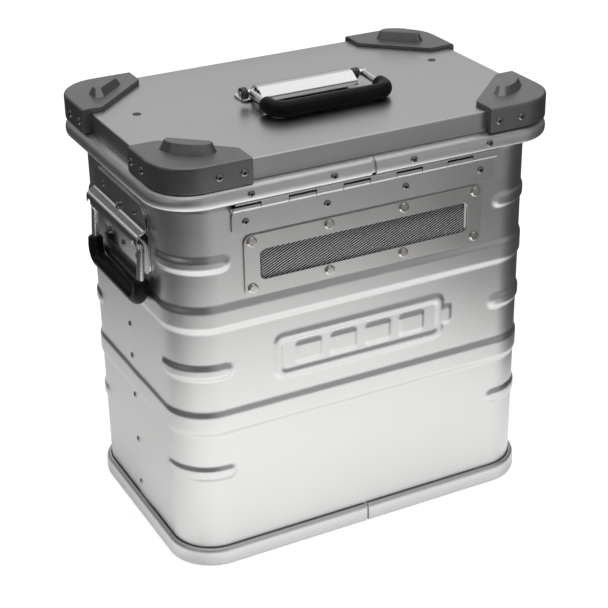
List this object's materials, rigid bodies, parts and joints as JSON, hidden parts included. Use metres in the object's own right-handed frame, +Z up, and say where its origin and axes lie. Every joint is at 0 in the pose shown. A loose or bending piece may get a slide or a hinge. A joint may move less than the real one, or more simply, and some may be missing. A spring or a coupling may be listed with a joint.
{
  "type": "battery safety case",
  "caption": "Upright rounded aluminium battery safety case with beaded walls, screened vent, piano-hinged lid with corner caps, draw latches and drop handles.",
  "frame": {"origin": "on the floor under the middle of the whole object, latches included", "axes": "+Z up; +X along the long side; -Y towards the hinge and vent side; +Y towards the latch side"},
  "size_m": [0.403, 0.2798, 0.4175],
  "materials": {
    "satin_aluminium": "satin brushed",
    "bright_aluminium": "bright mill",
    "cast_metal_paint": "fine metallic grey paint",
    "plated_steel": "zinc plated, smooth",
    "bright_rivet": "polished",
    "black_rubber": "satin moulded",
    "dark_screen": "woven wire",
    "silica_board": "matt fibre board",
    "floor_mat": "matt mat",
    "seal_rubber": "matt sponge"
  },
  "bodies": {
    "case": {"base_rim": "bright_aluminium", "body_collar": "bright_aluminium", "body_shell": "satin_aluminium", "floor_liner": "floor_mat", "floor_panel": "satin_aluminium", "hinge_leaf_body": "plated_steel", "hinge_pin": "plated_steel", "latch_base_left": "plated_steel", "latch_base_right": "plated_steel", "latch_pin_left": "plated_steel", "latch_pin_right": "plated_steel", "left_handle_backplate": "satin_aluminium", "left_handle_hood": "satin_aluminium", "liner_wall": "silica_board", "right_handle_backplate": "satin_aluminium", "right_handle_hood": "satin_aluminium", "vent_backing": "satin_aluminium", "vent_frame": "bright_aluminium", "vent_mesh": "dark_screen", "vent_rivet_1": "bright_rivet", "vent_rivet_2": "bright_rivet", "vent_rivet_3": "bright_rivet", "vent_rivet_4": "bright_rivet", "vent_rivet_5": "bright_rivet", "vent_rivet_6": "bright_rivet", "vent_rivet_7": "bright_rivet", "vent_rivet_8": "bright_rivet"},
    "lid": {"corner_cap_hinge_left": "cast_metal_paint", "corner_cap_hinge_right": "cast_metal_paint", "corner_cap_latch_left": "cast_metal_paint", "corner_cap_latch_right": "cast_metal_paint", "hinge_leaf_lid": "plated_steel", "latch_keeper_left": "plated_steel", "latch_keeper_right": "plated_steel", "lid_liner": "silica_board", "lid_pan": "satin_aluminium", "lid_rim": "bright_aluminium", "lid_screw_left": "plated_steel", "lid_screw_right": "plated_steel", "lid_seal": "seal_rubber", "top_handle_bracket": "satin_aluminium"},
    "top_handle": {"top_handle_bail": "plated_steel", "top_handle_grip": "black_rubber"},
    "left_handle": {"left_handle_bail": "plated_steel", "left_handle_grip": "black_rubber"},
    "right_handle": {"right_handle_bail": "plated_steel", "right_handle_grip": "black_rubber"},
    "lever_left": {"latch_lever_left": "plated_steel"},
    "lever_right": {"latch_lever_right": "plated_steel"},
    "loop_left": {"latch_loop_left": "plated_steel"},
    "loop_right": {"latch_loop_right": "plated_steel"}
  },
  "joints": [
    {"name": "lid_hinge", "type": "hinge", "parent": "case", "child": "lid", "pos_m": [0, -0.1287, 0.358], "axis": [1, 0, 0], "range_deg": [0, 105]},
    {"name": "top_handle_swing", "type": "hinge", "parent": "lid", "child": "top_handle", "pos_m": [0, -0.0055, 0.4115], "axis": [-1, 0, 0], "range_deg": [0, 93]},
    {"name": "left_handle_swing", "type": "hinge", "parent": "case", "child": "left_handle", "pos_m": [-0.1913, -0.0075, 0.3115], "axis": [0, 1, 0], "range_deg": [0, 86]},
    {"name": "right_handle_swing", "type": "hinge", "parent": "case", "child": "right_handle", "pos_m": [0.1913, -0.0075, 0.3115], "axis": [0, -1, 0], "range_deg": [0, 86]},
    {"name": "lever_left_lift", "type": "hinge", "parent": "case", "child": "lever_left", "pos_m": [-0.095, 0.1295, 0.34], "axis": [1, 0, 0], "range_deg": [0, 95]},
    {"name": "loop_left_swing", "type": "hinge", "parent": "lever_left", "child": "loop_left", "pos_m": [-0.095, 0.127, 0.33], "axis": [-1, 0, 0], "range_deg": [-178, 0]},
    {"name": "lever_right_lift", "type": "hinge", "parent": "case", "child": "lever_right", "pos_m": [0.095, 0.1295, 0.34], "axis": [1, 0, 0], "range_deg": [0, 95]},
    {"name": "loop_right_swing", "type": "hinge", "parent": "lever_right", "child": "loop_right", "pos_m": [0.095, 0.127, 0.33], "axis": [-1, 0, 0], "range_deg": [-178, 0]}
  ]
}
